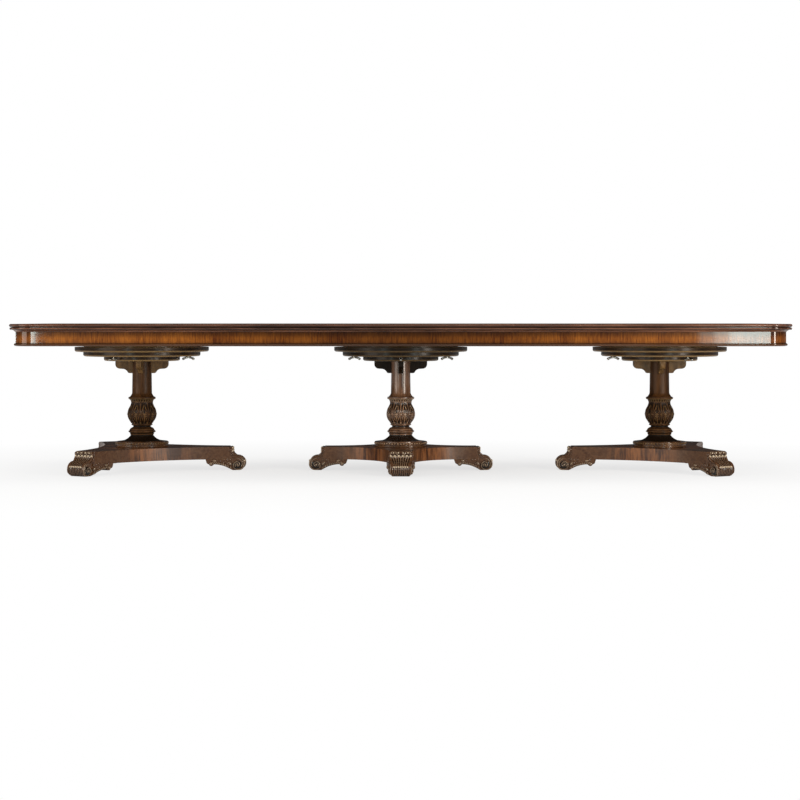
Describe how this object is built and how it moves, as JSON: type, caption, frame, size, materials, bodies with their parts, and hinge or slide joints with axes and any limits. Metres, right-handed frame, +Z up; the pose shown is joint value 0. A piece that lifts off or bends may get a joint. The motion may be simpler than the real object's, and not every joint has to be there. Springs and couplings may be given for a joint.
{
  "type": "extending pedestal dining table",
  "caption": "Long mahogany dining table with a moulded top in sliding sections on carved pedestals with scroll feet.",
  "frame": {"origin": "on the floor below the middle of the closed table", "axes": "+X along the table to the viewer's right, +Y away from the viewer across it, +Z up"},
  "size_m": [3.9, 1.2, 0.762],
  "materials": {
    "top_veneer": "french polished mahogany",
    "crossband": "polished crossbanded mahogany",
    "carcase": "planed, unpolished",
    "pedestal_turning": "antique dark polish",
    "column_carving": "antique polish, worn high spots",
    "flame_veneer": "polished upright flame veneer",
    "foot_carving": "antique dark polish, worn high spots",
    "steel": "bright zinc plated"
  },
  "bodies": {
    "centre_section": {"top_centre": "top_veneer", "apron_centre_front": "crossband", "apron_centre_back": "crossband", "bearers_centre": "carcase", "upper_disc_centre": "pedestal_turning", "middle_disc_centre": "pedestal_turning", "lower_disc_centre": "pedestal_turning", "brackets_centre": "pedestal_turning", "column_centre": "column_carving", "plinth_centre": "pedestal_turning", "platform_centre": "flame_veneer", "foot_centre_right": "foot_carving", "foot_centre_back": "foot_carving", "foot_centre_left": "foot_carving", "foot_centre_front": "foot_carving"},
    "left_end": {"top_left": "top_veneer", "apron_left_front": "crossband", "apron_left_back": "crossband", "apron_left_end": "crossband", "bearers_left": "carcase", "runner_left_front": "carcase", "runner_left_back": "carcase", "upper_disc_left": "pedestal_turning", "middle_disc_left": "pedestal_turning", "lower_disc_left": "pedestal_turning", "brackets_left": "pedestal_turning", "column_left": "column_carving", "plinth_left": "pedestal_turning", "platform_left": "flame_veneer", "foot_left_inner": "foot_carving", "foot_left_back": "foot_carving", "foot_left_front": "foot_carving"},
    "right_end": {"top_right": "top_veneer", "apron_right_front": "crossband", "apron_right_back": "crossband", "apron_right_end": "crossband", "bearers_right": "carcase", "runner_right_front": "carcase", "runner_right_back": "carcase", "upper_disc_right": "pedestal_turning", "middle_disc_right": "pedestal_turning", "lower_disc_right": "pedestal_turning", "brackets_right": "pedestal_turning", "column_right": "column_carving", "plinth_right": "pedestal_turning", "platform_right": "flame_veneer", "foot_right_inner": "foot_carving", "foot_right_front": "foot_carving", "foot_right_back": "foot_carving"},
    "wing_screw_centre_right": {"wing_screw_centre_right": "steel"},
    "wing_screw_centre_back": {"wing_screw_centre_back": "steel"},
    "wing_screw_centre_left": {"wing_screw_centre_left": "steel"},
    "wing_screw_centre_front": {"wing_screw_centre_front": "steel"},
    "wing_screw_left_inner": {"wing_screw_left_inner": "steel"},
    "wing_screw_left_back": {"wing_screw_left_back": "steel"},
    "wing_screw_left_front": {"wing_screw_left_front": "steel"},
    "wing_screw_right_inner": {"wing_screw_right_inner": "steel"},
    "wing_screw_right_front": {"wing_screw_right_front": "steel"},
    "wing_screw_right_back": {"wing_screw_right_back": "steel"}
  },
  "joints": [
    {"name": "left_end_slide", "type": "slide", "parent": "centre_section", "child": "left_end", "axis": [-1, 0, 0], "range_m": [0, 0.6]},
    {"name": "right_end_slide", "type": "slide", "parent": "centre_section", "child": "right_end", "axis": [1, 0, 0], "range_m": [0, 0.6]},
    {"name": "wing_screw_centre_right_turn", "type": "hinge", "parent": "centre_section", "child": "wing_screw_centre_right", "pos_m": [0.242, 0, 0.593], "axis": [0, 0, 1], "continuous": true},
    {"name": "wing_screw_centre_back_turn", "type": "hinge", "parent": "centre_section", "child": "wing_screw_centre_back", "pos_m": [0, 0.242, 0.593], "axis": [0, 0, 1], "continuous": true},
    {"name": "wing_screw_centre_left_turn", "type": "hinge", "parent": "centre_section", "child": "wing_screw_centre_left", "pos_m": [-0.242, 0, 0.593], "axis": [0, 0, 1], "continuous": true},
    {"name": "wing_screw_centre_front_turn", "type": "hinge", "parent": "centre_section", "child": "wing_screw_centre_front", "pos_m": [0, -0.242, 0.593], "axis": [0, 0, 1], "continuous": true},
    {"name": "wing_screw_left_inner_turn", "type": "hinge", "parent": "left_end", "child": "wing_screw_left_inner", "pos_m": [-1.11, 0, 0.593], "axis": [0, 0, 1], "continuous": true},
    {"name": "wing_screw_left_back_turn", "type": "hinge", "parent": "left_end", "child": "wing_screw_left_back", "pos_m": [-1.473, 0.20958, 0.593], "axis": [0, 0, 1], "continuous": true},
    {"name": "wing_screw_left_front_turn", "type": "hinge", "parent": "left_end", "child": "wing_screw_left_front", "pos_m": [-1.473, -0.20958, 0.593], "axis": [0, 0, 1], "continuous": true},
    {"name": "wing_screw_right_inner_turn", "type": "hinge", "parent": "right_end", "child": "wing_screw_right_inner", "pos_m": [1.11, 0, 0.593], "axis": [0, 0, 1], "continuous": true},
    {"name": "wing_screw_right_front_turn", "type": "hinge", "parent": "right_end", "child": "wing_screw_right_front", "pos_m": [1.473, -0.20958, 0.593], "axis": [0, 0, 1], "continuous": true},
    {"name": "wing_screw_right_back_turn", "type": "hinge", "parent": "right_end", "child": "wing_screw_right_back", "pos_m": [1.473, 0.20958, 0.593], "axis": [0, 0, 1], "continuous": true}
  ]
}
